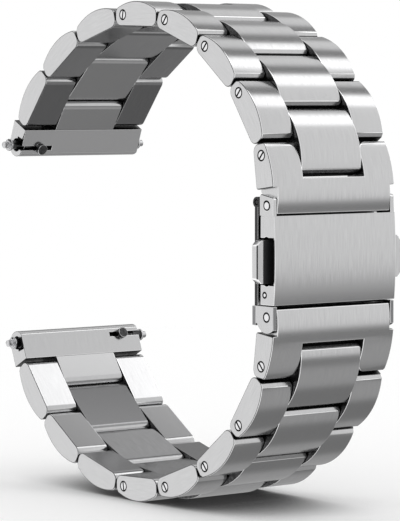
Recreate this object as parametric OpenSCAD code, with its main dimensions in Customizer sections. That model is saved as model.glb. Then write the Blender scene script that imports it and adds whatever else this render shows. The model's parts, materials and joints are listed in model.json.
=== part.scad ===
// Three-link watch bracelet with a folding clasp, standing open on its lower links.
// X runs across the loop with the clasp at +X, Y along the width of the band, Z up.
// The two halves of the bracelet are mirror images about the clasp's middle.

/* [Band] */
// Width of the band, which is the lug width of the watch
band_w = 22; // [16:0.5:26]
// Width of the centre links
centre_w = 10.9; // [7:0.1:11.2]
// Length of every link
link_len = 9.5; // [9.2:0.05:9.7]
// Thickness of a link at the top of its dome
link_t = 3.6; // [3.4:0.05:4.2]
// Radius of the domed outer face
dome_r = 10.1; // [9:0.1:16]
// Radius of the inner corners, which face the wrist
inner_r = 1.15; // [1.0:0.05:1.4]
// Chamfer where the dome meets a link's end
end_chamfer = 0.35; // [0.2:0.05:0.5]
// Radius of a link's corners, seen from outside
corner_r = 0.6; // [0.3:0.1:1]
// Gap between a centre link and the outer links beside it
side_gap = 0.1; // [0.05:0.01:0.2]

/* [Pins] */
// Radius of the link pins
pin_r = 0.55; // [0.4:0.05:0.65]
// Height of the pins above the face towards the wrist
pin_h = 1.6; // [1.5:0.05:1.75]
// Distance of an outer link's pins from its ends
pin_inset = 1.65; // [1.5:0.05:1.75]
// Distance between the two pins of a centre link
centre_pitch = 3.6; // [3.55:0.05:4.2]
// Radial clearance of every running fit
run_gap = 0.05; // [0.02:0.01:0.08]
// Thickness of steel left over the blind end of a pin
blind_wall = 0.8; // [0.5:0.1:1.5]
// Radius of a slotted screw head
screw_r = 0.75; // [0.65:0.05:0.9]
// Thickness of a screw head
screw_head_t = 0.6; // [0.4:0.1:1]
// Width of a screw's slot
slot_w = 0.28; // [0.2:0.02:0.4]
// Depth of a screw's slot
slot_depth = 0.3; // [0.2:0.05:0.4]
// Rows next to the clasp that are held by screws
screw_rows = 4; // [0:1:7]

/* [Resting bends] */
// Bend at the pin between the clasp and its end piece
clasp_bend = 7.5; // [3:0.1:9]
// Bend between the end piece and the first centre link
first_bend = 14; // [10:0.1:17]
// Bend between the first centre link and the first outer links
second_bend = 13; // [9:0.1:16]
// Bend at each of the other pins between links
link_bend = 8.9; // [6:0.05:9.5]
// Bend at the pin of the end link
end_bend = 5; // [3:0.1:9]

/* [Watch end link] */
// Bend built into the end link between its tab and its bar
bar_bend = 13; // [9:0.5:16]
// Depth of the bar from its wrist face to its outer face
bar_t = 3.25; // [3.1:0.05:3.6]
// Distance of the bar's wrist face inwards from the tab's pin
bar_drop = 1.2; // [1:0.05:1.3]
// Distance from the tab's pin to the spring bar
bar_reach = 5.1; // [4.8:0.05:5.5]
// Radius of the bar's end round the spring bar
bar_end_r = 1.75; // [1.65:0.05:1.85]
// Distance from the tab's pin to the bar's inner shoulder
shoulder_in = 2.2; // [2.1:0.05:2.6]
// Distance from the tab's pin to the bar's outer shoulder
shoulder_out = 1.75; // [1.7:0.05:2.2]
// Depth of the recess beside the spring bar at each side
relief_depth = 1.2; // [0.8:0.1:1.5]
// Reach of the recesses from the spring bar towards the tab
relief_reach = 1.3; // [1.1:0.1:1.5]
// Steel left between the recesses and the wrist face
relief_wall = 0.2; // [0.15:0.05:0.4]

/* [Spring bar] */
// Radius of the spring bar's tube and of the flanges on its tips
tube_r = 0.9; // [0.85:0.05:0.95]
// Wall of the spring bar's tube
tube_wall = 0.18; // [0.15:0.01:0.2]
// Radius of the tips that enter the watch case
tip_r = 0.5; // [0.45:0.01:0.5]
// Length of each tip beyond its collar
tip_len = 0.75; // [0.6:0.05:1.1]
// Thickness of the flanges
flange_t = 0.3; // [0.2:0.05:0.4]
// Thickness of the collars between the flanges and the tips
collar_t = 0.1; // [0.08:0.01:0.15]
// Distance of the fixed flange's outer face from the band's side
fixed_flange = 0.9; // [0.7:0.05:1]
// Distance of the release tip's flange from the band's side, sprung out
sprung_flange = 1.45; // [1.3:0.05:1.6]
// Distance of the tube's end inside the band's side at the fixed tip
fixed_inset = 0.3; // [0.2:0.05:0.4]
// Distance of the tube's end inside the band's side at the release tip
sprung_inset = 0.9; // [0.8:0.05:1]
// Travel of the quick-release tip
tip_travel = 1.8; // [1.5:0.1:1.9]
// Distance of the release knob from the band's side
knob_in = 3.4; // [3.2:0.1:3.8]
// Radius of the release knob
knob_r = 0.8; // [0.6:0.05:0.9]
// Height of the release knob over the wrist face
knob_h = 0.7; // [0.4:0.1:1]

/* [Clasp] */
// Length of the clasp cover
cover_len = 12.1; // [11.9:0.05:12.3]
// Height of the cover's middle over the middle between the ear pins
cover_shift = 0.15; // [0.05:0.05:0.2]
// Thickness of the cover's outer plate
cover_t = 1.0; // [0.8:0.1:1.2]
// Depth of the cover at its middle, from its wrist edge to its outer face
cover_depth = 3.06; // [2.9:0.02:3.3]
// Rise of the cover's outer face between its ends and its middle
cover_rise = 0.25; // [0.15:0.05:0.4]
// Thickness of the cover's side walls
wall_t = 0.9; // [0.7:0.05:1]
// Length of the cutouts for the push-buttons
cutout_len = 6.4; // [6.2:0.1:6.8]
// Thickness of the ears that hold the ear pins
ear_t = 0.65; // [0.5:0.05:0.8]
// Radius of the ear pins
ear_pin_r = 0.62; // [0.5:0.02:0.7]
// Distance of the ear pins from the middle of the clasp
ear_pin_z = 7.55; // [7.5:0.05:7.8]
// Depth of the finger recess in the plate's edges over the cutouts
recess_in = 0.8; // [0.5:0.1:1.2]
// Thickness of the plate's lip over the finger recess
recess_lip = 0.3; // [0.2:0.05:0.5]
// Width and depth of the groove between the ears and the side walls
groove = 0.12; // [0.08:0.01:0.2]
// Depth of the ear pins below the cover's outer face
ear_pin_depth = 1.8; // [1.7:0.05:1.9]
// Distance of the end piece's screw from its ear pin
end_reach = 6.85; // [6.6:0.05:7.1]
// Height of the ear pins over the end piece's wrist face
end_h = 1.85; // [1.75:0.05:1.9]
// Distance from the ear pin to the shoulder that clears the ears
end_shoulder = 2.35; // [2.3:0.05:2.5]
// Length of the end piece's plate past its ear pin
plate_past = 1.25; // [0.9:0.05:1.3]
// Radius of the end piece's corners beside the centre link
notch_r = 1.8; // [1:0.1:2.4]
// Radius of the end piece's barrel round its ear pin
barrel_r = 1.3; // [1.1:0.05:1.35]
// Thickness of the folding blades
blade_t = 0.75; // [0.6:0.05:0.8]
// Distance of the base blade's edges inside the band's sides
base_inset = 0.4; // [0.3:0.05:0.8]
// Radius of the base blade's lugs round the lower ear pin
lug_r = 2.2; // [1.9:0.05:2.25]
// Radius of the knuckles on the folding blades
knuckle_r = 0.75; // [0.7:0.05:0.8]
// Radius of the blades' hinge pins
blade_pin_r = 0.36; // [0.3:0.02:0.4]

/* [Push-buttons] */
// Length of a button along the band
button_len = 5.9; // [5.4:0.1:6]
// Height of a button's head, and of the foot that carries it
button_t = 1.15; // [1:0.05:1.2]
// Height of the middle of a button's head over the cover's wrist edge
button_mid = 1.24; // [1.2:0.02:1.3]
// Distance that a button stands out from the band's side
button_out = 2.1; // [1.8:0.1:2.3]
// Travel of a button
button_travel = 0.8; // [0.5:0.1:1]
// Chamfer at both ends of a button
button_chamfer = 0.65; // [0.4:0.05:0.8]
// Distance of the button block's sides inside the band's sides
block_inset = 3; // [2.6:0.1:3.4]
// Half the width of a button's stem
stem_half = 2.2; // [2:0.1:2.4]
// Distance of the stems' inner ends from the middle of the band
stem_in = 3; // [2.5:0.1:3.5]
// Depth of the spring bores in the stems
spring_bore = 2.5; // [2:0.1:2.8]
// Radius of the two springs between the buttons
spring_r = 0.4; // [0.3:0.02:0.42]
// Distance of the springs from the clasp's middle
spring_z = 1.1; // [0.8:0.1:1.4]

/* [Hidden] */
$fn = 48;
rows = 7;
hair = 0.01;
past = 0.5;
half_w = band_w / 2;
slot_half = centre_w / 2 + side_gap;
outer_pitch = link_len - 2 * pin_inset;
centre_over = (link_len - centre_pitch) / 2;
pin_end = half_w - blind_wall;
steel = [0.78, 0.78, 0.79];
dark_steel = [0.62, 0.62, 0.64];

// The clasp's own heights, measured from the wrist edge of the cover
wrist_edge = 0;
plate_in = cover_depth - cover_t;
ear_pin_x = cover_depth - ear_pin_depth;
ear_in = half_w - ear_t;
tongue_w = ear_in - 0.1;
blade_gap = 1.0;
base_out = wrist_edge - blade_gap;
base_in = base_out - blade_t;
middle_in = 0.52;
middle_out = middle_in + blade_t;
fold_top = [base_in + blade_t / 2, ear_pin_z + 0.4];
fold_low = [middle_in + blade_t / 2 - 0.02, -4.55];
base_w = band_w - 2 * base_inset;
base_end = -8.75;
block_w = band_w - 2 * block_inset;
block_low = -3.3;
block_high = 3.5;
block_top = plate_in - 0.35;
window_half = 3.75;
middle_high = 4.1;
foot_x = base_out + 0.15;
head_x = button_mid - button_t / 2;
web_t = 0.8;
web_in = half_w - wall_t + 0.05;
rail_notch = web_in - button_travel - 0.15;
finger_inset = 5.1;
finger_w = band_w - 2 * finger_inset;
finger_room = 0.65;
finger_cut = fold_top[1] - knuckle_r - finger_room;
cover_top = cover_shift + cover_len / 2;
cover_low = cover_shift - cover_len / 2;

// Bends and lengths of one half, from the clasp outwards: end piece, then centre and outer links in turn
bends = [clasp_bend, first_bend, second_bend, for (i = [3:2 * rows]) link_bend, end_bend];
function step(i) = i == 0 ? [pin_h - end_h, end_reach] : [0, i % 2 == 1 ? centre_pitch : outer_pitch];
function turned(p, a) = [p[0] * cos(a) - p[1] * sin(a), p[0] * sin(a) + p[1] * cos(a)];
function frame(i) = i == 0 ? [ear_pin_x, ear_pin_z, bends[0]] :
    let (f = frame(i - 1), q = turned(step(i - 1), f[2])) [f[0] + q[0], f[1] + q[1], f[2] + bends[i]];
frames = [for (i = [0:2 * rows + 1]) frame(i)];
function at(i, p) = let (q = turned(p, frames[i][2])) [frames[i][0] + q[0], frames[i][1] + q[1]];

// The object's box at rest, which places the origin at the middle of its base
dome_x = link_t - pin_h - dome_r;
bottom = max([for (i = [2:2:2 * rows]) at(i, [dome_x, outer_pitch / 2])[1]]) + dome_r;
bar_axis = turned([bar_t - bar_drop - bar_end_r, bar_reach], bar_bend);
left = at(2 * rows + 1, bar_axis)[0] - bar_end_r;
origin_x = (left + cover_depth) / 2;

// Every joint's place, axis along Y, in the finished frame
for (i = [0:2 * rows + 1])
    echo(joint = i, x = frames[i][0] - origin_x, z_up = bottom + frames[i][1], z_low = bottom - frames[i][1]);
echo(fold_top = [fold_top[0] - origin_x, fold_top[1] + bottom], fold_low = [fold_low[0] - origin_x, fold_low[1] + bottom]);
echo(bar = at(2 * rows + 1, bar_axis) - [origin_x, 0], bottom = bottom, left = left - origin_x);

// Places its children, drawn about the middle of the clasp, in the finished frame
module stand() {
    translate([-origin_x, 0, bottom]) children();
}
// Draws a piece of the upper half, or its mirror image for the lower half
module half(name) {
    stand() mirror([0, 0, name == "lower" ? 1 : 0]) children();
}
// Puts its children on the clasp-side pin of piece i
module on_pin(i) {
    translate([frames[i][0], 0, frames[i][1]]) rotate([0, -frames[i][2], 0]) children();
}
// Extrudes a side view, given as outwards and along, from y0 to y1
module across(y0, y1) {
    translate([0, y1, 0]) rotate([90, 0, 0]) linear_extrude(y1 - y0) children();
}
// A round bar along Y
module bar(r, y0, y1, p = [0, 0]) {
    translate([p[0], y0, p[1]]) rotate([-90, 0, 0]) cylinder(r = r, h = y1 - y0);
}
// What is cut away to round a square corner at the origin, which opens towards +x and +y
module corner(r) {
    difference() {
        translate([-past, -past]) square(r + past);
        translate([r, r]) circle(r);
    }
}
// Side view of a link that reaches from z0 to z1
module link_side(z0, z1) {
    top = link_t - pin_h;
    end_top = dome_x + sqrt(pow(dome_r, 2) - pow((z1 - z0) / 2, 2));
    difference() {
        intersection() {
            translate([-pin_h, z0]) square([link_t, z1 - z0]);
            translate([top - dome_r, (z0 + z1) / 2]) circle(dome_r, $fn = 180);
        }
        translate([-pin_h, z0]) corner(inner_r);
        translate([-pin_h, z1]) mirror([0, 1]) corner(inner_r);
        for (end = [0, 1])
            translate([end_top, end == 0 ? z0 : z1]) mirror([0, end])
                polygon([[-end_chamfer, 0], [-end_chamfer, -past], [past, -past], [past, end_chamfer],
                    [end_chamfer / 2, end_chamfer]]);
    }
}
// Upright cut that rounds the corner at y, z as seen from outside; sy and sz point into the link
module plan_cut(y, z, sy, sz, r = corner_r) {
    translate([-link_t, y, z]) rotate([90, 0, 90]) linear_extrude(3 * link_t)
        mirror([sy < 0 ? 1 : 0, 0]) mirror([0, sz < 0 ? 1 : 0]) corner(r);
}

// Slotted screw along Y with its head at the near side; the slot leans by lean from upright as the piece rests
slot_leans = [40, 40, 40, 36, 10];
module screw(p, rest_bend, lean) {
    difference() {
        union() {
            bar(screw_r - hair, -half_w, -half_w + screw_head_t, p);
            bar(pin_r, -half_w + screw_head_t / 2, pin_end, p);
        }
        translate([p[0], -half_w, p[1]]) rotate([0, rest_bend + lean, 0])
            cube([slot_w, 2 * slot_depth, 4 * screw_r], center = true);
    }
}
module screw_hole(p) {
    bar(screw_r, -half_w - past, -half_w + screw_head_t + hair, p);
    bar(pin_r + hair, -half_w, pin_end + hair, p);
}
module pin_hole(p) {
    bar(pin_r + hair, -pin_end - hair, pin_end + hair, p);
}

// Outer links: the near and the far link of one row
module outer_links(row) {
    far_pin = [0, outer_pitch];
    color(steel) on_pin(2 * row) difference() {
        for (side = [-1, 1]) difference() {
            across(side < 0 ? -half_w : slot_half, side < 0 ? -slot_half : half_w)
                link_side(-pin_inset, outer_pitch + pin_inset);
            plan_cut(side * slot_half, -pin_inset, side, 1);
            plan_cut(side * slot_half, outer_pitch + pin_inset, side, -1);
        }
        pin_hole([0, 0]);
        if (row <= screw_rows) screw_hole(far_pin);
        else pin_hole(far_pin);
    }
}
module link_pins(row) {
    color(dark_steel) on_pin(2 * row) {
        bar(pin_r, -pin_end, pin_end);
        if (row <= screw_rows) screw([0, outer_pitch], frames[2 * row][2], slot_leans[min(row, 4)]);
        else bar(pin_r, -pin_end, pin_end, [0, outer_pitch]);
    }
}
module centre_link(row) {
    z0 = -centre_over;
    z1 = centre_pitch + centre_over;
    w = centre_w / 2;
    color(steel) on_pin(2 * row - 1) difference() {
        across(-w, w) link_side(z0, z1);
        for (sy = [-1, 1]) {
            plan_cut(sy * w, z0, -sy, 1);
            plan_cut(sy * w, z1, -sy, -1);
        }
        bar(pin_r + run_gap, -w - past, w + past);
        bar(pin_r + run_gap, -w - past, w + past, [0, centre_pitch]);
    }
}

// Clasp end piece: its barrel turns between the ears, its plate covers them
end_pin = [pin_h - end_h, end_reach];
end_z = end_reach + pin_inset;
end_notch = end_reach - centre_over - 0.35;
end_dome = 14;
end_apex = 3;
plate_edge = 0.6;
tongue_edge = 2.1;
tongue_slant = [-1.4, 1.0];
module end_dome_side() {
    translate([link_t - end_h - end_dome, end_apex]) circle(end_dome, $fn = 240);
}
module clasp_end() {
    color(steel) on_pin(0) difference() {
        union() {
            across(-half_w, half_w) intersection() {
                difference() {
                    translate([-end_h, end_shoulder]) square([link_t, end_z - end_shoulder]);
                    translate([-end_h, end_z]) mirror([0, 1]) corner(inner_r);
                    translate([-end_h, end_shoulder]) corner(0.3);
                }
                end_dome_side();
            }
            across(-tongue_w, tongue_w) intersection() {
                union() {
                    circle(barrel_r);
                    translate([-barrel_r, 0]) square([barrel_r + link_t - end_h, end_shoulder + hair]);
                    translate([plate_edge, -plate_past]) square([link_t - end_h - plate_edge, plate_past + hair]);
                    polygon([[-end_h, end_shoulder + hair], [-end_h, tongue_edge], tongue_slant, [-barrel_r, 0],
                        [0, 0], [0, end_shoulder + hair]]);
                }
                end_dome_side();
            }
        }
        translate([-2 * link_t, -slot_half, end_notch]) cube([4 * link_t, 2 * slot_half, link_len]);
        for (side = [-1, 1]) plan_cut(side * slot_half, end_z, side, -1, notch_r);
        across(-half_w - past, half_w + past) translate([link_t - end_h - 0.95, end_z])
            polygon([[-end_chamfer, past], [-end_chamfer, 0], [past, -end_chamfer - past], [link_t, past]]);
        screw_hole(end_pin);
        bar(ear_pin_r + hair, -tongue_w - past, tongue_w + past);
    }
}
module clasp_end_pins() {
    color(dark_steel) on_pin(0) {
        screw(end_pin, frames[0][2], slot_leans[0]);
        bar(ear_pin_r, -half_w, half_w);
    }
}

// Watch end link: a tab on the last row's pin and a bar bent inwards, bored for the spring bar
last = 2 * rows + 1;
bar_spot = [bar_t - bar_drop - bar_end_r, bar_reach];
lever_slot = 0.34;
bar_hole = tube_r + run_gap;
slot_end = knob_in + tip_travel + lever_slot;
relief_gap = 0.4;
module in_bar() {
    rotate([0, -bar_bend, 0]) children();
}
module bar_side() {
    polygon([[-bar_drop, shoulder_in], [bar_t - bar_drop, shoulder_out], [bar_t - bar_drop, bar_reach],
        [-bar_drop, bar_reach]]);
    intersection() {
        translate(bar_spot) circle(bar_end_r);
        translate([-bar_drop, shoulder_in]) square([bar_t, link_len]);
    }
}
// Recess at one side of the bar, past the spring bar's axis by beyond
module side_relief(y, beyond) {
    translate([relief_wall - bar_drop, y, bar_reach - relief_reach])
        cube([bar_spot[0] + bar_drop - relief_wall, relief_depth + past, relief_reach + beyond]);
}
module end_link() {
    w = centre_w / 2;
    color(steel) on_pin(last) difference() {
        union() {
            difference() {
                across(-w, w) intersection() {
                    link_side(-centre_over, link_len - centre_over);
                    rotate(bar_bend) translate([-bar_t, -link_len]) square([3 * bar_t, link_len + bar_reach]);
                    translate([-link_t, -link_len]) square([3 * link_t, link_len + shoulder_in + 0.6]);
                }
                for (sy = [-1, 1]) plan_cut(sy * w, -centre_over, -sy, 1);
            }
            in_bar() across(-half_w, half_w) bar_side();
        }
        in_bar() {
            bar(bar_hole, -half_w - past, half_w + past, bar_spot);
            side_relief(-half_w - past, -relief_gap);
            side_relief(half_w - relief_depth, relief_gap);
            translate([-bar_drop - past, -half_w - past, bar_reach - lever_slot])
                cube([bar_drop + past + bar_spot[0], past + slot_end, 2 * lever_slot]);
        }
        bar(pin_r + run_gap, -w - past, w + past);
    }
}
// Spring bar: tube with its fixed tip and the coil that pushes the release tip out
bore_r = tube_r - tube_wall;
neck_r = bore_r - run_gap;
plunger_past = 2;
plunger_in = knob_in + plunger_past;
bore_end = half_w - plunger_past;
coil_wire = 0.18;
coil_len = 6;
// A tip on its neck, which starts at y0; the flange's outer face is at y1
module flanged_tip(y0, y1) {
    bar(neck_r, y0, y1 + collar_t, bar_spot);
    bar(tube_r, y1 - flange_t, y1, bar_spot);
    bar(tip_r, y1, y1 + collar_t + tip_len, bar_spot);
}
module spring_bar() {
    coil_start = -half_w + plunger_in + tip_travel;
    color(dark_steel) on_pin(last) in_bar() {
        difference() {
            bar(tube_r, -half_w + sprung_inset, half_w - fixed_inset, bar_spot);
            bar(bore_r, -half_w, bore_end, bar_spot);
            translate([bar_spot[0] - 2 * tube_r, -half_w + knob_in - lever_slot, bar_reach - lever_slot])
                cube([2 * tube_r, tip_travel + 2 * lever_slot, 2 * lever_slot]);
        }
        flanged_tip(half_w - fixed_inset - hair, half_w + fixed_flange);
        difference() {
            bar(bore_r - hair, coil_start, coil_start + coil_len, bar_spot);
            bar(bore_r - hair - coil_wire, -half_w, half_w, bar_spot);
        }
    }
}
module release_tip() {
    color(dark_steel) on_pin(last) in_bar() {
        mirror([0, 1, 0]) flanged_tip(half_w - plunger_in, half_w + sprung_flange);
        translate([bar_spot[0], -half_w + knob_in, bar_reach]) rotate([0, -90, 0]) {
            cylinder(r = lever_slot - run_gap, h = bar_spot[0] + bar_drop + knob_h / 2);
            translate([0, 0, bar_spot[0] + bar_drop + run_gap]) cylinder(r = knob_r, h = knob_h);
        }
    }
}

// Clasp cover: outer plate, two side walls with cutouts, and the ears of the upper end piece
cover_r = (pow(cover_len / 2, 2) + pow(cover_rise, 2)) / (2 * cover_rise);
ear_low = -0.2;
ear_out = ear_pin_x + barrel_r + 0.05;
ear_top = ear_pin_z + 1.55;
ear_slope = 0.4;
ear_chamfer = 0.25;
module cover_ear_side() {
    polygon([[ear_low, cover_top - hair], [ear_low, ear_top - ear_chamfer], [ear_low + ear_chamfer, ear_top],
        [ear_out - ear_chamfer, ear_top - ear_slope], [ear_out, ear_top - ear_slope - ear_chamfer],
        [ear_out, cover_top - hair]]);
}
// Cut under the plate's edge that gives the fingertip room over a button
slot_r = 0.75;
slot_past = 0.15;
module finger_recess(side) {
    translate([plate_in - hair, side * half_w - recess_in, -cutout_len / 2])
        cube([cover_t - recess_lip, 2 * recess_in, cutout_len]);
}
module clasp_cover() {
    color(steel) stand() difference() {
        union() {
            across(-half_w, half_w) intersection() {
                translate([wrist_edge, cover_low]) square([cover_depth, cover_len]);
                translate([cover_depth - cover_r, cover_shift]) circle(cover_r, $fn = 360);
            }
            for (side = [-1, 1])
                across(side < 0 ? -half_w : ear_in, side < 0 ? -ear_in : half_w) cover_ear_side();
        }
        translate([-past, -half_w + wall_t, -cover_len]) cube([plate_in + past, band_w - 2 * wall_t, 2 * cover_len]);
        translate([-past, -half_w - past, -cutout_len / 2]) cube([plate_in + past, band_w + 2 * past, cutout_len]);
        for (side = [-1, 1]) {
            finger_recess(side);
            for (z = [-1, 1]) bar(slot_r, side < 0 ? -half_w - past : ear_in, side < 0 ? -ear_in : half_w + past,
                [button_mid, z * (cutout_len / 2 + slot_past - slot_r)]);
            translate([-past, side * half_w - groove, cover_top - groove])
                cube([plate_in + 2 * past, 2 * groove, groove]);
        }
        bar(ear_pin_r + run_gap, -half_w - past, half_w + past, [ear_pin_x, ear_pin_z]);
        bar(blade_pin_r + run_gap, -half_w - past, half_w + past, fold_low);
    }
}

// Middle blade: hinged to the cover below and to the base blade above, open round the button block
rail_w = 2 * (half_w - wall_t - 0.15);
module middle_blade() {
    color(dark_steel) stand() difference() {
        union() {
            across(-rail_w / 2, rail_w / 2) {
                translate([middle_in, fold_low[1]]) square([blade_t, middle_high - fold_low[1]]);
                translate(fold_low) circle(knuckle_r);
            }
            across(-finger_w / 2, finger_w / 2) {
                polygon([[middle_in, window_half], [middle_out, window_half], [middle_out, middle_high],
                    [fold_top[0] + knuckle_r * 0.9, fold_top[1] - 0.3], [fold_top[0], fold_top[1] - knuckle_r],
                    [base_out + 0.12, fold_top[1] - 1.4]]);
                translate(fold_top) circle(knuckle_r);
            }
        }
        translate([-link_t, -block_w / 2 - 0.2, -window_half]) cube([3 * link_t, block_w + 0.4, 2 * window_half]);
        for (side = [-1, 1])
            translate([-link_t, side < 0 ? -band_w : rail_notch, -window_half])
                cube([3 * link_t, band_w - rail_notch, 2 * window_half]);
        bar(blade_pin_r + hair, -band_w, band_w, fold_top);
        bar(blade_pin_r + hair, -band_w, band_w, fold_low);
    }
}
module blade_hinge_pins() {
    color(dark_steel) stand() {
        bar(blade_pin_r, -base_w / 2, base_w / 2, fold_top);
        bar(blade_pin_r, -half_w, half_w, fold_low);
    }
}

// Base blade: knuckles above, the block that holds the buttons, and the lugs of the lower end piece
lug_top = cover_low - 0.15;
lug_low = -ear_pin_z - 0.9;
module base_blade() {
    color(steel) stand() difference() {
        union() {
            across(-base_w / 2, base_w / 2) {
                translate([base_in, base_end]) square([blade_t, fold_top[1] - base_end]);
                translate(fold_top) circle(knuckle_r);
            }
            across(-block_w / 2, block_w / 2)
                translate([base_out - hair, block_low]) square([block_top - base_out, block_high - block_low]);
            for (side = [-1, 1]) {
                across(side < 0 ? -half_w : ear_in, side < 0 ? -ear_in : half_w) difference() {
                    union() {
                        translate([ear_pin_x, -ear_pin_z]) circle(lug_r);
                        translate([base_out, lug_low]) square([ear_pin_x - base_out, lug_top - lug_low]);
                        translate([base_in, base_end]) square([blade_t, lug_top - base_end]);
                    }
                    translate([-link_t, lug_top]) square(3 * link_t);
                    translate([ear_pin_x + barrel_r + 0.1, -band_w]) square(band_w);
                }
            }
        }
        translate([base_in - link_t, -finger_w / 2 - 0.1, finger_cut]) cube([3 * link_t, finger_w + 0.2, link_len]);
        bar(blade_pin_r + run_gap, -band_w, band_w, fold_top);
        bar(ear_pin_r + run_gap, -band_w, band_w, [ear_pin_x, -ear_pin_z]);
        translate([foot_x - run_gap, -band_w, -stem_half - run_gap])
            cube([button_t + 2 * run_gap, 2 * band_w, 2 * (stem_half + run_gap)]);
    }
}

// Push-button at the near side: a stem that slides in the block under the middle blade, a foot and a web
// beside its rails, and the head with chamfered ends that stands out through the cover
module push_button() {
    foot_in = block_w / 2 + button_travel + 0.1;
    foot_out = web_in + web_t;
    head_out = half_w + button_out;
    half_len = button_len / 2;
    color(steel) difference() {
        union() {
            translate([foot_x, -foot_out, -half_len]) cube([button_t, foot_out - foot_in, button_len]);
            translate([foot_x, -foot_out, -half_len]) cube([head_x + button_t - foot_x, web_t, button_len]);
            translate([head_x, 0, 0]) rotate([90, 0, 90]) linear_extrude(button_t) polygon([
                [-web_in, -half_len], [-web_in, half_len], [-head_out + button_chamfer, half_len],
                [-head_out, half_len - button_chamfer], [-head_out, button_chamfer - half_len],
                [-head_out + button_chamfer, -half_len]]);
            translate([foot_x, -foot_in - hair, -stem_half]) cube([button_t, foot_in - stem_in, 2 * stem_half]);
        }
        for (z = [-spring_z, spring_z])
            bar(spring_r + run_gap, -stem_in - spring_bore, -stem_in + past, [foot_x + button_t / 2, z]);
    }
}
module button_springs() {
    spring_half = stem_in + spring_bore - button_travel - 0.1;
    color(dark_steel) stand() for (z = [-spring_z, spring_z]) difference() {
        bar(spring_r, -spring_half, spring_half, [foot_x + button_t / 2, z]);
        bar(spring_r * 0.6, -band_w, band_w, [foot_x + button_t / 2, z]);
    }
}

clasp_cover();
middle_blade();
base_blade();
blade_hinge_pins();
stand() push_button();  // near_push_button
stand() mirror([0, 1, 0]) push_button();  // far_push_button
button_springs();
for (name = ["upper", "lower"]) {
    half(name) clasp_end();
    half(name) clasp_end_pins();
    for (row = [1:rows]) {
        half(name) centre_link(row);
        half(name) outer_links(row);
        half(name) link_pins(row);
    }
    flip = name == "lower" ? 1 : 0;
    half(name) mirror([0, flip, 0]) end_link();
    half(name) mirror([0, flip, 0]) spring_bar();
    half(name) mirror([0, flip, 0]) release_tip();
}
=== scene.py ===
# Steel three-link watch bracelet with a folding clasp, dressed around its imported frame.
import json
import math
import bpy
import bmesh
from mathutils import Matrix, Vector


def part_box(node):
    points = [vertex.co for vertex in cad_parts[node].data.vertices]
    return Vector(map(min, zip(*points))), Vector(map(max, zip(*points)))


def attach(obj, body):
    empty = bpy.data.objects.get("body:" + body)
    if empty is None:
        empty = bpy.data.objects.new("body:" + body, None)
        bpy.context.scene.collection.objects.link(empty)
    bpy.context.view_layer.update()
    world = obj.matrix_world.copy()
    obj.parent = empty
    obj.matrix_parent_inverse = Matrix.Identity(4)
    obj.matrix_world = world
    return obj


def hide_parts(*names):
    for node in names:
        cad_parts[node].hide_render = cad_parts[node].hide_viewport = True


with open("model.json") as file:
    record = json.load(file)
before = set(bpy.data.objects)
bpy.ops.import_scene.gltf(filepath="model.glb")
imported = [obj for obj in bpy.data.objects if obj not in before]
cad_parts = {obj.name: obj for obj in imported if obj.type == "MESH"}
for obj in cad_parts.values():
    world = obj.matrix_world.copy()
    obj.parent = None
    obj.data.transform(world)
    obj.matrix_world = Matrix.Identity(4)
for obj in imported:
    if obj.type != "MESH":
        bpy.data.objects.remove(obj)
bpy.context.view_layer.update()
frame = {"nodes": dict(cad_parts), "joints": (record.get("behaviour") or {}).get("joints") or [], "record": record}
print("frame loaded with", len(frame["nodes"]), "nodes")

mm = 0.001
nodes = frame["nodes"]
bodyOfNode = {name: body for body, names in frame["record"]["behaviour"]["bodies"].items() for name in names}
pinOfBody = {joint["child"]: Vector(joint["pos_m"]) for joint in frame["joints"] if joint["type"] == "hinge"}
halves = {"upper": 1, "lower": -1}
rows = 7

# camera
camera = {
    "target": (1.2082, 0, 34.32),    # mm, point that the lens looks at
    "azimuth": 51.34,
    "elevation": 3.34,
    "distance": 410.1,               # mm
    "lens": 195.3,
    "sensor": 36,
    "clip": (0.01, 10),              # m
}


def makeCamera():
    data = bpy.data.cameras.new("camera")
    data.lens, data.sensor_width = camera["lens"], camera["sensor"]
    data.clip_start, data.clip_end = camera["clip"]
    azimuth, elevation = math.radians(camera["azimuth"]), math.radians(camera["elevation"])
    back = Vector((math.sin(azimuth) * math.cos(elevation), -math.cos(azimuth) * math.cos(elevation),
                   math.sin(elevation)))
    obj = bpy.data.objects.new("camera", data)
    obj.location = (Vector(camera["target"]) + back * camera["distance"]) * mm
    obj.rotation_mode = "QUATERNION"
    obj.rotation_quaternion = (-back).to_track_quat("-Z", "Y")
    bpy.context.scene.collection.objects.link(obj)
    bpy.context.scene.camera = obj


makeCamera()
print("camera placed")


# shader sockets, so that a mask or a noise can be used in a plain sum
class Socket:
    def __init__(self, tree, link=None):
        self.tree = tree
        self.link = link

    def node(self, kind, settings=None, inputs=None, output=0):
        made = self.tree.nodes.new(kind)
        for name, value in (settings or {}).items():
            setattr(made, name, value)
        for name, value in (inputs or {}).items():
            if isinstance(value, Socket):
                self.tree.links.new(value.link, made.inputs[name])
            else:
                made.inputs[name].default_value = value
        return Socket(self.tree, made.outputs[output] if made.outputs else None)

    def maths(self, operation, *values):
        return self.node("ShaderNodeMath", {"operation": operation}, dict(enumerate(values)))

    def __add__(self, other):
        return self.maths("ADD", self, other)

    def __sub__(self, other):
        return self.maths("SUBTRACT", self, other)

    def __rsub__(self, other):
        return self.maths("SUBTRACT", other, self)

    def __mul__(self, other):
        return self.maths("MULTIPLY", self, other)

    def ramp(self, low, high, start=0.0, end=1.0):      # smooth step from low to high
        return self.node("ShaderNodeMapRange", {"interpolation_type": "SMOOTHSTEP"},
                         {"Value": self, "From Min": low, "From Max": high, "To Min": start, "To Max": end})


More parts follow.
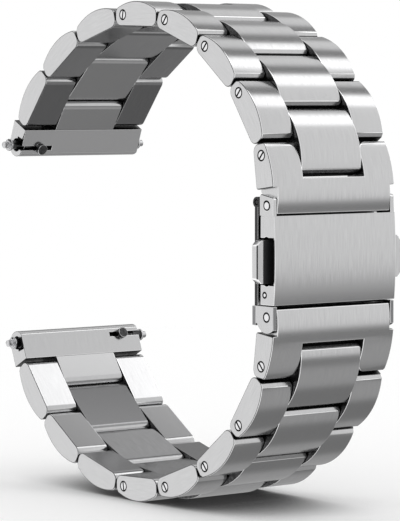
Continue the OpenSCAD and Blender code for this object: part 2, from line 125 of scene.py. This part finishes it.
# finishes
satin = {
    "link": {"dull": (0.575, 0.575, 0.58), "bright": (0.615, 0.615, 0.62)},
    # blade: a darker tone on the clasp's blades, which is painted shade
    "blade": {"dull": (0.22, 0.22, 0.225), "bright": (0.27, 0.27, 0.275)},
    # inside: a darker tone on the wrist faces, which is painted shade
    "inside": {"dull": (0.30, 0.30, 0.305), "bright": (0.35, 0.35, 0.355)},
    "roughness": (0.17, 0.22),
    "fineLines": 14.0,               # brush lines per mm across the grain
    "broadLines": 3.0,
    "lineLength": 0.35,              # waves per mm along the grain
    "shares": (0.75, 0.25),          # of the fine and the broad lines
    "lineDetail": (2.0, 1.0),
    "lineRoughness": 0.6,
    "contrast": (0.3, 0.7),
    "depth": 0.0002,                 # mm
}
# polish: smoother than the satin, with a colour lighter than the steel's that is a painted highlight on the broken
# edges
polishAndHighlight = {"colour": (0.93, 0.93, 0.935), "roughness": (0.09, 0.15), "patches": 1.3}
wearContrast, markContrast = (0.3, 0.7), (0.35, 0.65)
turned = {"dull": (0.56, 0.56, 0.57), "bright": (0.66, 0.66, 0.67), "roughness": (0.14, 0.22), "patches": 9.0}
headed = {"dull": (0.76, 0.76, 0.77), "bright": (0.84, 0.84, 0.85), "roughness": (0.14, 0.2), "patches": 7.0}
# shaded: near-black steel that is painted shade in the gaps between parts, on the side faces' outlines and on the
# spring bars' necks
shaded = {"dull": (0.06, 0.06, 0.061), "bright": (0.1, 0.1, 0.102), "roughness": (0.25, 0.4), "patches": 2.0}
# painted shadow: near black, in bores, recesses, slots and gap lines
paintedShadow = {"dull": (0.008, 0.008, 0.009), "bright": (0.016, 0.016, 0.017), "roughness": (0.35, 0.5),
             "patches": 5.0}


def newMaterial(name):
    material = bpy.data.materials.new(name)
    material.use_nodes = True
    material.node_tree.nodes.clear()
    return material, Socket(material.node_tree)


def finishMaterial(start, colour, roughness, normal=None, metal=1.0):
    inputs = {"Base Color": colour, "Metallic": metal, "Roughness": roughness}
    if normal:
        inputs["Normal"] = normal
    shader = start.node("ShaderNodeBsdfPrincipled", {}, inputs)
    start.node("ShaderNodeOutputMaterial", {}, {"Surface": shader})


def mixColours(start, factor, first, second):    # the node's colour sockets are 6 and 7, and output 2
    return start.node("ShaderNodeMix", {"data_type": "RGBA"},
                      {"Factor": factor, 6: (*first, 1), 7: (*second, 1)}, output=2)


def satinSteel(name):                # brushed along the band, on the piece's own grain map in mm
    material, start = newMaterial(name + "SatinSteel")
    grain = start.node("ShaderNodeUVMap", {"uv_map": "grain"})

    def lines(perMm, detail):
        stretched = start.node("ShaderNodeMapping", {},
                               {"Vector": grain, "Scale": (perMm, satin["lineLength"], 1)})
        return start.node("ShaderNodeTexNoise", {"noise_dimensions": "2D"},
                          {"Vector": stretched, "Scale": 1.0, "Detail": detail,
                           "Roughness": satin["lineRoughness"]})
    fine, broad = satin["shares"]
    fineDetail, broadDetail = satin["lineDetail"]
    mixed = lines(satin["fineLines"], fineDetail) * fine + lines(satin["broadLines"], broadDetail) * broad
    tone = mixed.ramp(*satin["contrast"])
    low, high = satin["roughness"]
    bump = start.node("ShaderNodeBump", {},
                      {"Strength": 1.0, "Distance": satin["depth"] * mm, "Height": mixed})
    finishMaterial(start, mixColours(start, tone, satin[name]["dull"], satin[name]["bright"]),
                   high - tone * (high - low), bump)
    return material


def polishedHighlightSteel():                 # broken edges and the rims of holes: polished, with a base colour lighter than the steel's that is a painted highlight
    material, start = newMaterial("polishedHighlightSteel")
    place = start.node("ShaderNodeTexCoord", {}, {}, "Object")
    wear = start.node("ShaderNodeTexNoise", {},
                      {"Vector": place, "Scale": polishAndHighlight["patches"] / mm, "Detail": 1.0})
    low, high = polishAndHighlight["roughness"]
    finishMaterial(start, (*polishAndHighlight["colour"], 1), wear.ramp(*wearContrast, low, high))
    return material


def patchySteel(name, finish, metal):    # small marks in tone and gloss: turned pins, and the painted shade and painted shadow
    material, start = newMaterial(name)
    place = start.node("ShaderNodeTexCoord", {}, {}, "Object")
    marks = start.node("ShaderNodeTexNoise", {},
                       {"Vector": place, "Scale": finish["patches"] / mm, "Detail": 2.0})
    tone = marks.ramp(*markContrast)
    low, high = finish["roughness"]
    finishMaterial(start, mixColours(start, tone, finish["dull"], finish["bright"]),
                   high - tone * (high - low), metal=metal)
    return material


finishes = {"link": satinSteel("link"), "blade": satinSteel("blade"), "inside": satinSteel("inside"),
            "polishAndHighlight": polishedHighlightSteel(), "turned": patchySteel("turnedSteel", turned, 1.0),
            "head": patchySteel("headSteel", headed, 1.0), "shade": patchySteel("shadedSteel", shaded, 1.0),
            "black": patchySteel("paintedShadowRecess", paintedShadow, 0.0)}
paints = ["link", "polishAndHighlight", "black", "blade", "shade", "inside", "turned", "head"]    # material slots
polishAndHighlightSlot = paints.index("polishAndHighlight")    # the finish of every broken edge: polish with a painted highlight
print("finishes made:", ", ".join(finishes))


# grain: the direction of the band at each piece
def nextPin(body):
    half, kind = body.split("_")[:2]
    number = int(body[-1]) if body[-1].isdigit() else 0
    following = {
        "centre": f"{half}_outer_links_{number}",
        "outer": f"{half}_centre_link_{number + 1}",
        "clasp": f"{half}_centre_link_1",
    }.get(kind, "")
    return pinOfBody.get(following, pinOfBody[half + "_end_link"])


def barSpot(half):                   # the spring bar's axis, from the record's mounts
    spot = next(Vector(mount["pos_m"]) for mount in frame["record"]["mounts"]
                if mount["name"].startswith(half))
    spot.y = 0
    return spot


def bandDirection(body):
    half = body.split("_")[0]
    if half not in halves or body not in pinOfBody:
        return Vector((0, 0, 1))
    there = barSpot(half) if "end_link" in body else nextPin(body)
    return (there - pinOfBody[body]).normalized()


grainSide, grainEnd = 0.7, 0.8       # least share of a side face's normal along the width, and an end face's


def mapGrain(mesh, body):            # UV map in mm: across the brush lines, then along them
    along = bandDirection(body)
    outward = Vector((along.z, 0, -along.x))
    layer = mesh.loops.layers.uv.new("grain")
    for face in mesh.faces:
        normal = face.normal
        if abs(normal.y) > grainSide:
            across, down = outward, along
        elif abs(normal.dot(along)) > grainEnd:
            across, down = Vector((0, 1, 0)), outward
        else:
            across, down = Vector((0, 1, 0)), along
        for loop in face.loops:
            place = loop.vert.co / mm
            loop[layer].uv = (place.dot(across), place.dot(down))


crease = math.radians(28)            # a sharper edge than this is an edge of the piece


def addPiece(name, mesh, body, materials, replaced=()):
    mesh.normal_update()
    for face in mesh.faces:
        face.smooth = True
    for edge in mesh.edges:
        edge.smooth = len(edge.link_faces) == 2 and edge.calc_face_angle(0) < crease
    data = bpy.data.meshes.new(name)
    mesh.to_mesh(data)
    mesh.free()
    for material in materials:
        data.materials.append(finishes[material])
    obj = bpy.data.objects.new(name, data)
    bpy.context.scene.collection.objects.link(obj)
    shading = obj.modifiers.new("shading", "WEIGHTED_NORMAL")
    shading.keep_sharp = True
    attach(obj, body)
    if replaced:
        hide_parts(*replaced)


# machined steel pieces: the CAD solids with their outer edges broken and their faces brushed
machined = {
    "linkEdge": 0.12,                # mm
    "endEdge": 0.07,
    "claspEdge": 0.08,
    "bladeEdge": 0.06,
    "boreEdge": 0.05,
    "barEdge": 0.04,
    "segments": 2,
    "merge": 1e-7,                   # m
    "flat": 0.5,                     # degrees, faces that lie flatter than this are joined
}
sides = {                            # mm from the middle of the band
    "faces": 10.9,                   # beyond this lie the side faces
    "rims": 10.95,                   # and their broken edges
    "bores": 10.2,                   # a bore and its painted shadow ring show beyond this
    "shoulders": 10.8,               # broken edges of the clasp end pieces' shoulders, painted as a shadow line
    "lugBores": 9,
}
square = 0.9                         # least share of a normal along a direction that its face is square to
boreWalls = 0.96                     # greatest share of a bore wall's normal along the band's width
rimNormals = (0.7, 0.98)             # share of the normal of a side face's painted dark outline along the width


def solidCopy(name):
    mesh = bmesh.new()
    mesh.from_mesh(nodes[name].data)
    bmesh.ops.remove_doubles(mesh, verts=mesh.verts, dist=machined["merge"])
    bmesh.ops.dissolve_limit(mesh, angle_limit=math.radians(machined["flat"]), verts=mesh.verts,
                             edges=mesh.edges)
    mesh.normal_update()
    return mesh


def breakEdges(mesh, width, paint, chosen=lambda middle: True):    # chosen by the middle of an edge, in mm
    edges = [edge for edge in mesh.edges
             if len(edge.link_faces) == 2 and edge.is_convex and edge.calc_face_angle(0) > crease
             and chosen((edge.verts[0].co + edge.verts[1].co) / 2 / mm)]
    bmesh.ops.bevel(mesh, geom=edges, offset=width * mm, offset_type="OFFSET", segments=machined["segments"],
                    profile=0.5, affect="EDGES", clamp_overlap=False, material=paints.index(paint))
    mesh.normal_update()


def cutAt(mesh, normal, place):      # mm, where the finish changes
    bmesh.ops.bisect_plane(mesh, geom=mesh.verts[:] + mesh.edges[:] + mesh.faces[:], plane_no=normal,
                           plane_co=Vector(normal) * place * mm)


pinReach, screwReach = 0.72, 0.82    # mm from its axis that the bore of a pin and of a screw is painted black as shadow


def brushedCopy(name, edge, finish="link", paint=lambda face, middle: None, bores=(),
                boreReach=pinReach, screwed=False, kept=lambda middle: False, cuts=()):
    def atBore(middle):
        near = any((middle - spot / mm).xz.length < boreReach for spot in bores)
        return near and abs(middle.y) > sides["bores"]
    mesh = solidCopy(name)
    # the screw bores' broken edges are painted black, a painted shadow ring
    if screwed:
        breakEdges(mesh, machined["boreEdge"], "black",
                   lambda middle: abs(middle.y) > sides["faces"] and atBore(middle))
    breakEdges(mesh, edge, "polishAndHighlight", lambda middle: not (kept(middle) or screwed and atBore(middle)))
    for normal, place in cuts:
        cutAt(mesh, normal, place)
    for face in mesh.faces:
        middle = face.calc_center_median() / mm
        # bore walls are painted black as shadow
        painted = "black" if abs(face.normal.y) < boreWalls and atBore(middle) else paint(face, middle)
        if painted:
            face.material_index = paints.index(painted)
        elif not face.material_index:
            face.material_index = paints.index(finish)
    mapGrain(mesh, bodyOfNode[name])
    addPiece("steel_" + name, mesh, bodyOfNode[name], paints, [name])


def linkPaint(name, bright=False, wallsTo=sides["faces"]):    # painted shade on the gap walls and end faces, a painted dark outline beside the side faces, and painted shade on the wrist faces
    along = bandDirection(bodyOfNode[name])
    outward = Vector((along.z, 0, -along.x)) * halves[name.split("_")[0]]

    def paint(face, middle):
        low, high = rimNormals
        wall = abs(face.normal.y) > square and abs(middle.y) < wallsTo
        rim = (face.material_index == polishAndHighlightSlot and abs(middle.y) > sides["rims"]
               and low < abs(face.normal.y) < high)
        # gap walls, end faces and the outline beside the side faces get painted shade
        if wall or rim or abs(face.normal.dot(along)) > square:
            return "shade"
        # wrist faces take the inside tone, a painted shade
        return "inside" if not bright and face.normal.dot(outward) < -square else None
    return paint


endBore = {                          # mm
    "reach": 1.3,                    # from the spring bar's axis, how far the painted shadow reaches
    "recessReach": 1.47,
    "recessFrom": 9.7,               # from the middle of the band
}


def endPaint(half):                  # painted shadow in the bore, lever slot and side recesses of an end link
    spot, walls = barSpot(half) / mm, linkPaint(half + "_end_link", True)

    def paint(face, middle):
        reach = endBore["recessReach"] if abs(middle.y) > endBore["recessFrom"] else endBore["reach"]
        if abs(face.normal.y) < boreWalls and (middle - spot).xz.length < reach:
            return "black"
        return walls(face, middle)
    return paint


notchHalf = 7                        # mm from the middle of the band, the walls of a clasp end piece's notch, which get painted shade
slope = 0.3                          # least share of a normal along a direction that its face leans to


def claspEndPaint(half):             # a painted shadow line on its shoulders' broken edges over the clasp's ears
    walls = linkPaint(half + "_clasp_end", wallsTo=notchHalf)

    def paint(face, middle):
        shoulder = face.material_index == polishAndHighlightSlot and abs(middle.y) > sides["shoulders"]
        if shoulder and face.normal.z * halves[half] < -slope:
            return "black"
        return walls(face, middle)
    return paint


# pieces whose wrist faces are left without the painted shade
brightInside = ("lower_outer_links_7", "lower_outer_links_6", "upper_centre_link_7")
for half in halves:
    for row in range(1, rows + 1):
        name = f"{half}_centre_link_{row}"
        brushedCopy(name, machined["linkEdge"], paint=linkPaint(name, name in brightInside))
        name = f"{half}_outer_links_{row}"
        brushedCopy(name, machined["linkEdge"], paint=linkPaint(name, name in brightInside),
                    bores=[nextPin(name)], boreReach=screwReach, screwed=True)
    name = half + "_clasp_end"
    brushedCopy(name, machined["linkEdge"], paint=claspEndPaint(half), bores=[nextPin(name)],
                boreReach=screwReach, screwed=True)
    brushedCopy(half + "_end_link", machined["endEdge"], paint=endPaint(half))
print("links and end pieces dressed")

clasp = {
    "recess": (1.1, 0.25),           # mm under the cover's outer face: the finger recess's floor and its lip, with painted shadow between
    "recessHalf": 3.4,               # mm, half of its length along the band
    "wall": (10.15, 10.98),          # mm from the middle of the band, the cover's side walls
    "capLength": 1.05,               # mm, bright end of a push-button, beyond its neck painted black as shadow
    "buttonEdge": 0.14,
    "buttonLean": 0.25,              # least share of both normals of the cap's edges that are painted as a shadow line
    "seam": (1.41, 0.13),            # mm: the fine groove's middle, below the ear's pin, and its reach
    "cutRoom": 0.01,                 # mm, beyond the neck's end
    "lugBore": 1,                    # mm, reach of the painted shadow in the base blade's lug bores
    "earTop": 44,                    # mm, above this the edge of the cover's ears gets a painted shadow line for the dark gap
    "stripWidth": 0.7,               # mm, strip of painted shade, in the blade's darker tone, down the side of the base blade's lugs
}
middleOfClasp = (pinOfBody["upper_clasp_end"].z + pinOfBody["lower_clasp_end"].z) / 2 / mm
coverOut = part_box("clasp_cover")[1][0] / mm
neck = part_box("far_push_button")[1][1] / mm - clasp["capLength"]
claspBores = [pinOfBody[body] for body in ("upper_clasp_end", "lower_clasp_end", "middle_blade")]
lugs = [vert.co.x / mm for vert in nodes["base_blade"].data.vertices if abs(vert.co.y) > sides["faces"] * mm]
strip = min(lugs) + clasp["stripWidth"]


# painted shadow in the finger recess and along the top edges of the cover's ears
def coverPaint(face, middle):
    floor, lip = clasp["recess"]
    inner, outer = clasp["wall"]
    if inner < abs(middle.y) < outer and abs(middle.z - middleOfClasp) < clasp["recessHalf"]:
        return "black" if lip < coverOut - middle.x < floor else None
    earTop = face.material_index == polishAndHighlightSlot and abs(middle.y) > sides["faces"] and face.normal.z > slope
    return "black" if earTop and middle.z > clasp["earTop"] else None


# the neck inside the wall and a line along the cap's edges are painted black as shadow
def buttonPaint(face, middle):
    if abs(middle.y) < neck:
        return "black"
    lean = clasp["buttonLean"]
    edge = face.normal.x > lean and abs(face.normal.y) > lean and abs(face.normal.z) < slope
    return "black" if edge and face.material_index else None


def bladePaint(face, middle):        # the lugs of the lower end piece are brushed as the links are; painted shadow in the lug bores, and painted shade in the blades' darker tone elsewhere
    away = (middle - pinOfBody["base_blade"] / mm).xz.length
    if away < clasp["lugBore"] and abs(middle.y) > sides["lugBores"]:
        return "black"
    return "link" if abs(middle.y) > sides["faces"] and middle.x > strip else None


def atSeam(middle):                  # too fine a groove for its edges to be broken
    below, half = clasp["seam"]
    return abs(middle.z + below - pinOfBody["upper_clasp_end"].z / mm) < half


def onStem(middle):
    return abs(middle.y) < neck + clasp["cutRoom"]


brushedCopy("clasp_cover", machined["claspEdge"], paint=coverPaint, bores=claspBores,
            kept=atSeam)
for side, sign in (("near", -1), ("far", 1)):
    brushedCopy(side + "_push_button", clasp["buttonEdge"], cuts=[((0, 1, 0), sign * neck)],
                paint=buttonPaint, kept=onStem)
brushedCopy("base_blade", machined["bladeEdge"], "blade", paint=bladePaint,
            cuts=[((1, 0, 0), strip)], bores=claspBores)
brushedCopy("middle_blade", machined["bladeEdge"], "blade", paint=bladePaint, bores=claspBores)
print("clasp dressed")


# pins and screws, turned about axes along the band's width
pins = {
    "sides": 32,
    "shaft": 0.55,                   # mm, radius
    "blindEnd": 10.2,                # mm from the middle of the band
    "face": 11.0,
    "rim": 0.05,
    "screwHead": 0.63,
    "screwShoulder": 10.3,
    "slotWidth": 0.27,
    "slotDepth": 0.32,
    "slotMiddle": 0.05,              # mm, the slot's face has its middle within this of the axis
    "slotLean": (40, 40, 40, 36, 10),    # degrees from upright: end piece, then rows 1 to 4
    "earPin": (0.61, 0.53),          # radii in the lugs and at the relieved end
    "bladePin": (0.355, 0.28),
    "bladePinInset": 0.45,           # mm, the upper blade pin's end from the base blade's side
    "relief": 0.5,                   # mm, length of the relieved end
}
planar = 1e-6                        # m, closer than this a place lies in a plane
facing = 0.99                        # least share of a face's normal across the band on a screw's end face
endShare, endDepth = 0.95, 0.02      # the same for a bright end face, and mm that it may lie under the end
ringDepth = 0.05                     # mm, the ring of painted shadow starts this far beyond the blind ends
screwRows = len(pins["slotLean"]) - 1


def spinBar(mesh, spot, profile):    # profile: radius and place along the width, in mm
    points = [mesh.verts.new((spot.x + radius * mm, along * mm, spot.z)) for radius, along in profile]
    lines = [mesh.edges.new(pair) for pair in zip(points, points[1:])]
    bmesh.ops.spin(mesh, geom=points + lines, cent=spot, axis=(0, 1, 0), angle=2 * math.pi,
                   steps=pins["sides"], use_merge=True)
    bmesh.ops.remove_doubles(mesh, verts=mesh.verts, dist=planar)
    bmesh.ops.recalc_face_normals(mesh, faces=mesh.faces)


def plainPin(mesh, spot):
    radius, end, rim = pins["shaft"], pins["blindEnd"], pins["rim"]
    spinBar(mesh, spot, [(0, -end), (radius - rim, -end), (radius, rim - end), (radius, end - rim),
                         (radius - rim, end), (0, end)])


def relievedPin(mesh, spot, radii, face):
    full, slim = radii
    rim, shoulder = pins["rim"], face - pins["relief"]
    one = [(0, face), (slim - rim, face), (slim, face - rim), (slim, shoulder), (full, shoulder)]
    spinBar(mesh, spot, [(radius, -along) for radius, along in one] + one[::-1])


def screw(mesh, spot, lean, sign):
    face, head, rim, shoulder = pins["face"], pins["screwHead"], pins["rim"], pins["screwShoulder"]
    shaft, end = pins["shaft"], pins["blindEnd"]
    spinBar(mesh, spot, [(0, -face), (head - rim, -face), (head, rim - face), (head, -shoulder),
                         (shaft, -shoulder), (shaft, end - rim), (shaft - rim, end), (0, end)])
    cap = [f for f in mesh.faces
           if all(abs(v.co.y + face * mm) < planar and (v.co - spot).xz.length < head * mm for v in f.verts)]
    bmesh.ops.dissolve_faces(mesh, faces=cap)
    angle = math.radians(lean)
    across = Vector((math.cos(angle), 0, -sign * math.sin(angle)))

    def headFaces():                 # with the place of each from the screw's axis
        for f in mesh.faces:
            middle = f.calc_center_median()
            if f.normal.y < -facing and abs(middle.y + face * mm) < planar:
                yield f, middle - spot

    for edge in (-1, 1):
        here = [f for f, away in headFaces() if away.xz.length < head * mm / 2]
        around = {item for f in here for item in (*f.verts, *f.edges)}
        bmesh.ops.bisect_plane(mesh, geom=here + list(around), plane_no=across,
                               plane_co=spot + across * edge * pins["slotWidth"] / 2 * mm)
    floor = [f for f, away in headFaces() if abs(away.dot(across)) < pins["slotMiddle"] * mm]
    sunk = bmesh.ops.extrude_face_region(mesh, geom=floor)["geom"]
    bmesh.ops.translate(mesh, vec=(0, pins["slotDepth"] * mm, 0),
                        verts=[v for v in sunk if isinstance(v, bmesh.types.BMVert)])
    bmesh.ops.delete(mesh, geom=floor, context="FACES_ONLY")


def turnedPiece(name, mesh, paint=lambda face, middle: "turned"):
    mesh.normal_update()
    for face in mesh.faces:
        face.material_index = paints.index(paint(face, face.calc_center_median() / mm))
    addPiece("turned_" + name, mesh, bodyOfNode[name], paints, [name])


def pinPaint(face, middle):          # bright end faces in dark rings of painted shadow
    if abs(middle.y) < pins["blindEnd"] + ringDepth:
        return "turned"
    return "head" if abs(face.normal.y) > endShare and abs(middle.y) > pins["face"] - endDepth else "black"


for half, sign in halves.items():
    name = half + "_clasp_end_pins"
    mesh = bmesh.new()
    screw(mesh, nextPin(half + "_clasp_end"), pins["slotLean"][0], sign)
    relievedPin(mesh, pinOfBody[half + "_clasp_end"], pins["earPin"], pins["face"])
    turnedPiece(name, mesh, pinPaint)
    for row in range(1, rows + 1):
        mesh = bmesh.new()
        spot, far = pinOfBody[f"{half}_outer_links_{row}"], nextPin(f"{half}_outer_links_{row}")
        if row <= screwRows:
            screw(mesh, far, pins["slotLean"][row], sign)
        else:
            plainPin(mesh, far)
        plainPin(mesh, spot)
        turnedPiece(f"{half}_link_pins_{row}", mesh, pinPaint)
mesh = bmesh.new()
relievedPin(mesh, pinOfBody["middle_blade"], pins["bladePin"], pins["face"])
relievedPin(mesh, pinOfBody["base_blade"], pins["bladePin"],
            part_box("base_blade")[1][1] / mm - pins["bladePinInset"])
turnedPiece("blade_hinge_pins", mesh, pinPaint)
print("pins and screws turned")


# coil springs, and the spring bars with their release tips
coils = {
    "sides": 8,
    "stepsPerTurn": 14,
    "buttonWire": 0.08,              # mm, radius
    "buttonPitch": 0.46,
    "barWire": 0.085,
    "barPitch": 0.5,
    "barCoil": (0.61, -3.69, 2.1),   # mm: radius to the wire's middle, first and last place in the upper half
    "buttonRadius": 0.4,             # mm, over the wire
    "clear": (0.105, 0.2),           # mm round and beyond the bar's coil, cleared of the solid's tube
}
bar = {                              # mm from the spring bar's axis, or from the middle of the band
    "sheath": 10.5,                  # broken edges inside this get the polish and its painted highlight
    "neck": (0.74, 11.8),            # the neck between the flanges, painted shade: radius, and how far out
    "flange": (0.5, 10.75),          # least radius of a flange's face, and where the flanges start; those faces and the tube inside are painted shade
}


def coil(mesh, spot, radius, wire, first, last, pitch):
    turns = (last - first) / pitch
    steps = round(turns * coils["stepsPerTurn"])
    start = Matrix.Translation((spot.x + radius * mm, first * mm, spot.z))
    ring = bmesh.ops.create_circle(mesh, segments=coils["sides"], radius=wire * mm, matrix=start)["verts"]
    edges = list({edge for vert in ring for edge in vert.link_edges})
    bmesh.ops.spin(mesh, geom=ring + edges, cent=spot, axis=(0, 1, 0), angle=turns * 2 * math.pi, steps=steps,
                   dvec=(0, (last - first) / steps * mm, 0))
    bmesh.ops.holes_fill(mesh, edges=[edge for edge in mesh.edges if edge.is_boundary])
    bmesh.ops.recalc_face_normals(mesh, faces=mesh.faces)


def barPaint(spot):                  # bright tips and flange rims, with painted shade on the necks, the tube, the flanges' faces and the release knob
    def paint(face, middle):
        away, out = (middle - spot).xz.length, abs(middle.y)
        if face.material_index and out < bar["sheath"]:
            return "polishAndHighlight"
        (flangeReach, flangeFrom), (neckReach, neckTo) = bar["flange"], bar["neck"]
        flangeFace = abs(face.normal.y) > square and away > flangeReach
        neckFace = away < neckReach and out < neckTo
        return "shade" if flangeFace or out < flangeFrom or neckFace else "turned"
    return paint


low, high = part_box("button_springs")
radius, wire = coils["buttonRadius"], coils["buttonWire"]
mesh = bmesh.new()
for z in (low[2] + radius * mm, high[2] - radius * mm):
    coil(mesh, Vector(((low[0] + high[0]) / 2, 0, z)), radius - wire, wire, low[1] / mm + wire,
         high[1] / mm - wire, coils["buttonPitch"])
turnedPiece("button_springs", mesh)
for half, sign in halves.items():
    name, spot = half + "_spring_bar", barSpot(half)
    mesh = solidCopy(name)
    radius, first, last = coils["barCoil"]
    around, beyond = coils["clear"]
    inside = [v for v in mesh.verts if (v.co - spot).xz.length < (radius + around) * mm
              and first - beyond < sign * v.co.y / mm < last + beyond]
    bmesh.ops.delete(mesh, geom=inside, context="VERTS")
    breakEdges(mesh, machined["barEdge"], "polishAndHighlight")
    ends = sorted((sign * first, sign * last))
    coil(mesh, spot, radius, coils["barWire"], *ends, coils["barPitch"])
    turnedPiece(name, mesh, barPaint(spot / mm))
    mesh = solidCopy(half + "_release_tip")
    breakEdges(mesh, machined["barEdge"], "polishAndHighlight")
    turnedPiece(half + "_release_tip", mesh, barPaint(spot / mm))
print("springs wound and spring bars dressed")

# studio: white for the camera, and walls and softboxes that the steel reflects
studio = {
    "floorSize": 0.6,                # m
    "floorSides": 96,
    "floorGrey": 0.42,               # what the steel's surroundings get from the floor
    "shadowReach": 0.014,            # m, reach of the painted contact shadow
    "contact": (0.0, 0.9, 0.08),     # openness where the painted contact shadow is darkest and ends, and its level
    "roomLight": 1.0,
    "dark": 0.25,                    # level of the walls between the strips
    "strips": [                      # degrees about Y from +X up: low, high, soft edge, and brightness
        (-200, -108, 8, 0.42),
        (-62, -26, 7, 0.46),
        (-10.5, 60, 3, 0.97),
        (62, 85, 2.5, 1.95),
        (105, 134, 6, 0.92),
        (138, 200, 6, 0.42),
    ],
    "panelEdge": (0.585, 0.645, 0.78),    # the panels fade towards the camera: from, to, and the level there
    "front": 1.05,                   # level of the panel at the near side
    "frontEdge": (-0.45, -0.2),      # where it gives way to the strips, from and to
    "gap": (-0.68, -0.5, 0.55),      # dark gap in it beside the camera: edge, from and to, and its depth
    "gapHeight": (0.06, 0.2),        # square of the height where the gap starts to end, and where it has
    "under": 0.8,                    # added light from low at the sides, which edges the wrist faces
    "underSide": (0.35, 0.5),        # it fades towards the camera, and towards level
    "underTop": (-0.2, 0.0),
}


def makeStudio():
    world = bpy.data.worlds.new("studio")
    bpy.context.scene.world = world
    world.use_nodes = True
    world.node_tree.nodes.clear()
    sky = Socket(world.node_tree)
    way = sky.node("ShaderNodeTexCoord", {}, {}, "Generated")
    split = sky.node("ShaderNodeSeparateXYZ", {}, {"Vector": way})
    x, y, z = (Socket(split.tree, split.link.node.outputs[k]) for k in range(3))
    angle = z.maths("ARCTAN2", z, x) * (180 / math.pi)
    light = 0.0
    level = studio["dark"]
    for low, high, edge, strength in studio["strips"]:
        band = angle.ramp(low - edge, low + edge) * angle.ramp(high - edge, high + edge, 1.0, 0.0)
        light = band * (strength - level) + light
    start, end, faded = studio["panelEdge"]
    strips = light * y.ramp(start, end, faded, 1.0) + level
    near = y.ramp(*studio["frontEdge"], 1.0, 0.0)
    under = y.ramp(*studio["underSide"], 1.0, 0.0) * z.ramp(*studio["underTop"], 1.0, 0.0) * studio["under"]
    start, end, drop = studio["gap"]
    gap = x.ramp(start, end) * (z * z).ramp(*studio["gapHeight"], 1.0, 0.0) * drop
    seen = (strips + under) * (1 - near) + near * (studio["front"] - gap)
    path = sky.node("ShaderNodeLightPath", {}, {}, "Is Camera Ray")
    rays = path.link.node.outputs
    isCamera, isGlossy, isThrough = (Socket(path.tree, rays[k]) for k in
                                     ("Is Camera Ray", "Is Glossy Ray", "Is Transmission Ray"))
    reflected = (isGlossy + isThrough) * (1 - isCamera)
    strength = isCamera + reflected * seen + (1 - isCamera - reflected) * studio["roomLight"]
    background = sky.node("ShaderNodeBackground", {}, {"Color": (1, 1, 1, 1), "Strength": strength})
    sky.node("ShaderNodeOutputWorld", {}, {"Surface": background})


def makeFloor():
    mesh = bmesh.new()
    bmesh.ops.create_circle(mesh, cap_ends=True, segments=studio["floorSides"],
                            radius=studio["floorSize"] / 2)
    data = bpy.data.meshes.new("floor")
    mesh.to_mesh(data)
    mesh.free()
    material, start = newMaterial("paleFloor")
    path = start.node("ShaderNodeLightPath", {}, {}, "Is Camera Ray")
    # for the camera the floor's colour darkens with ambient occlusion: a painted contact shadow over the real one
    free = start.node("ShaderNodeAmbientOcclusion", {"samples": 8}, {"Distance": studio["shadowReach"]}, "AO")
    paintedShadowColour = path * free.ramp(*studio["contact"]) + (1 - path) * studio["floorGrey"]
    shader = start.node("ShaderNodeBsdfDiffuse", {}, {"Color": paintedShadowColour})
    start.node("ShaderNodeOutputMaterial", {}, {"Surface": shader})
    data.materials.append(material)
    floor = bpy.data.objects.new("floor", data)
    bpy.context.scene.collection.objects.link(floor)
    floor.visible_glossy = False     # the steel sees the room through it


makeStudio()
makeFloor()
print("studio set up")

bpy.context.scene.view_settings.view_transform = "Standard"
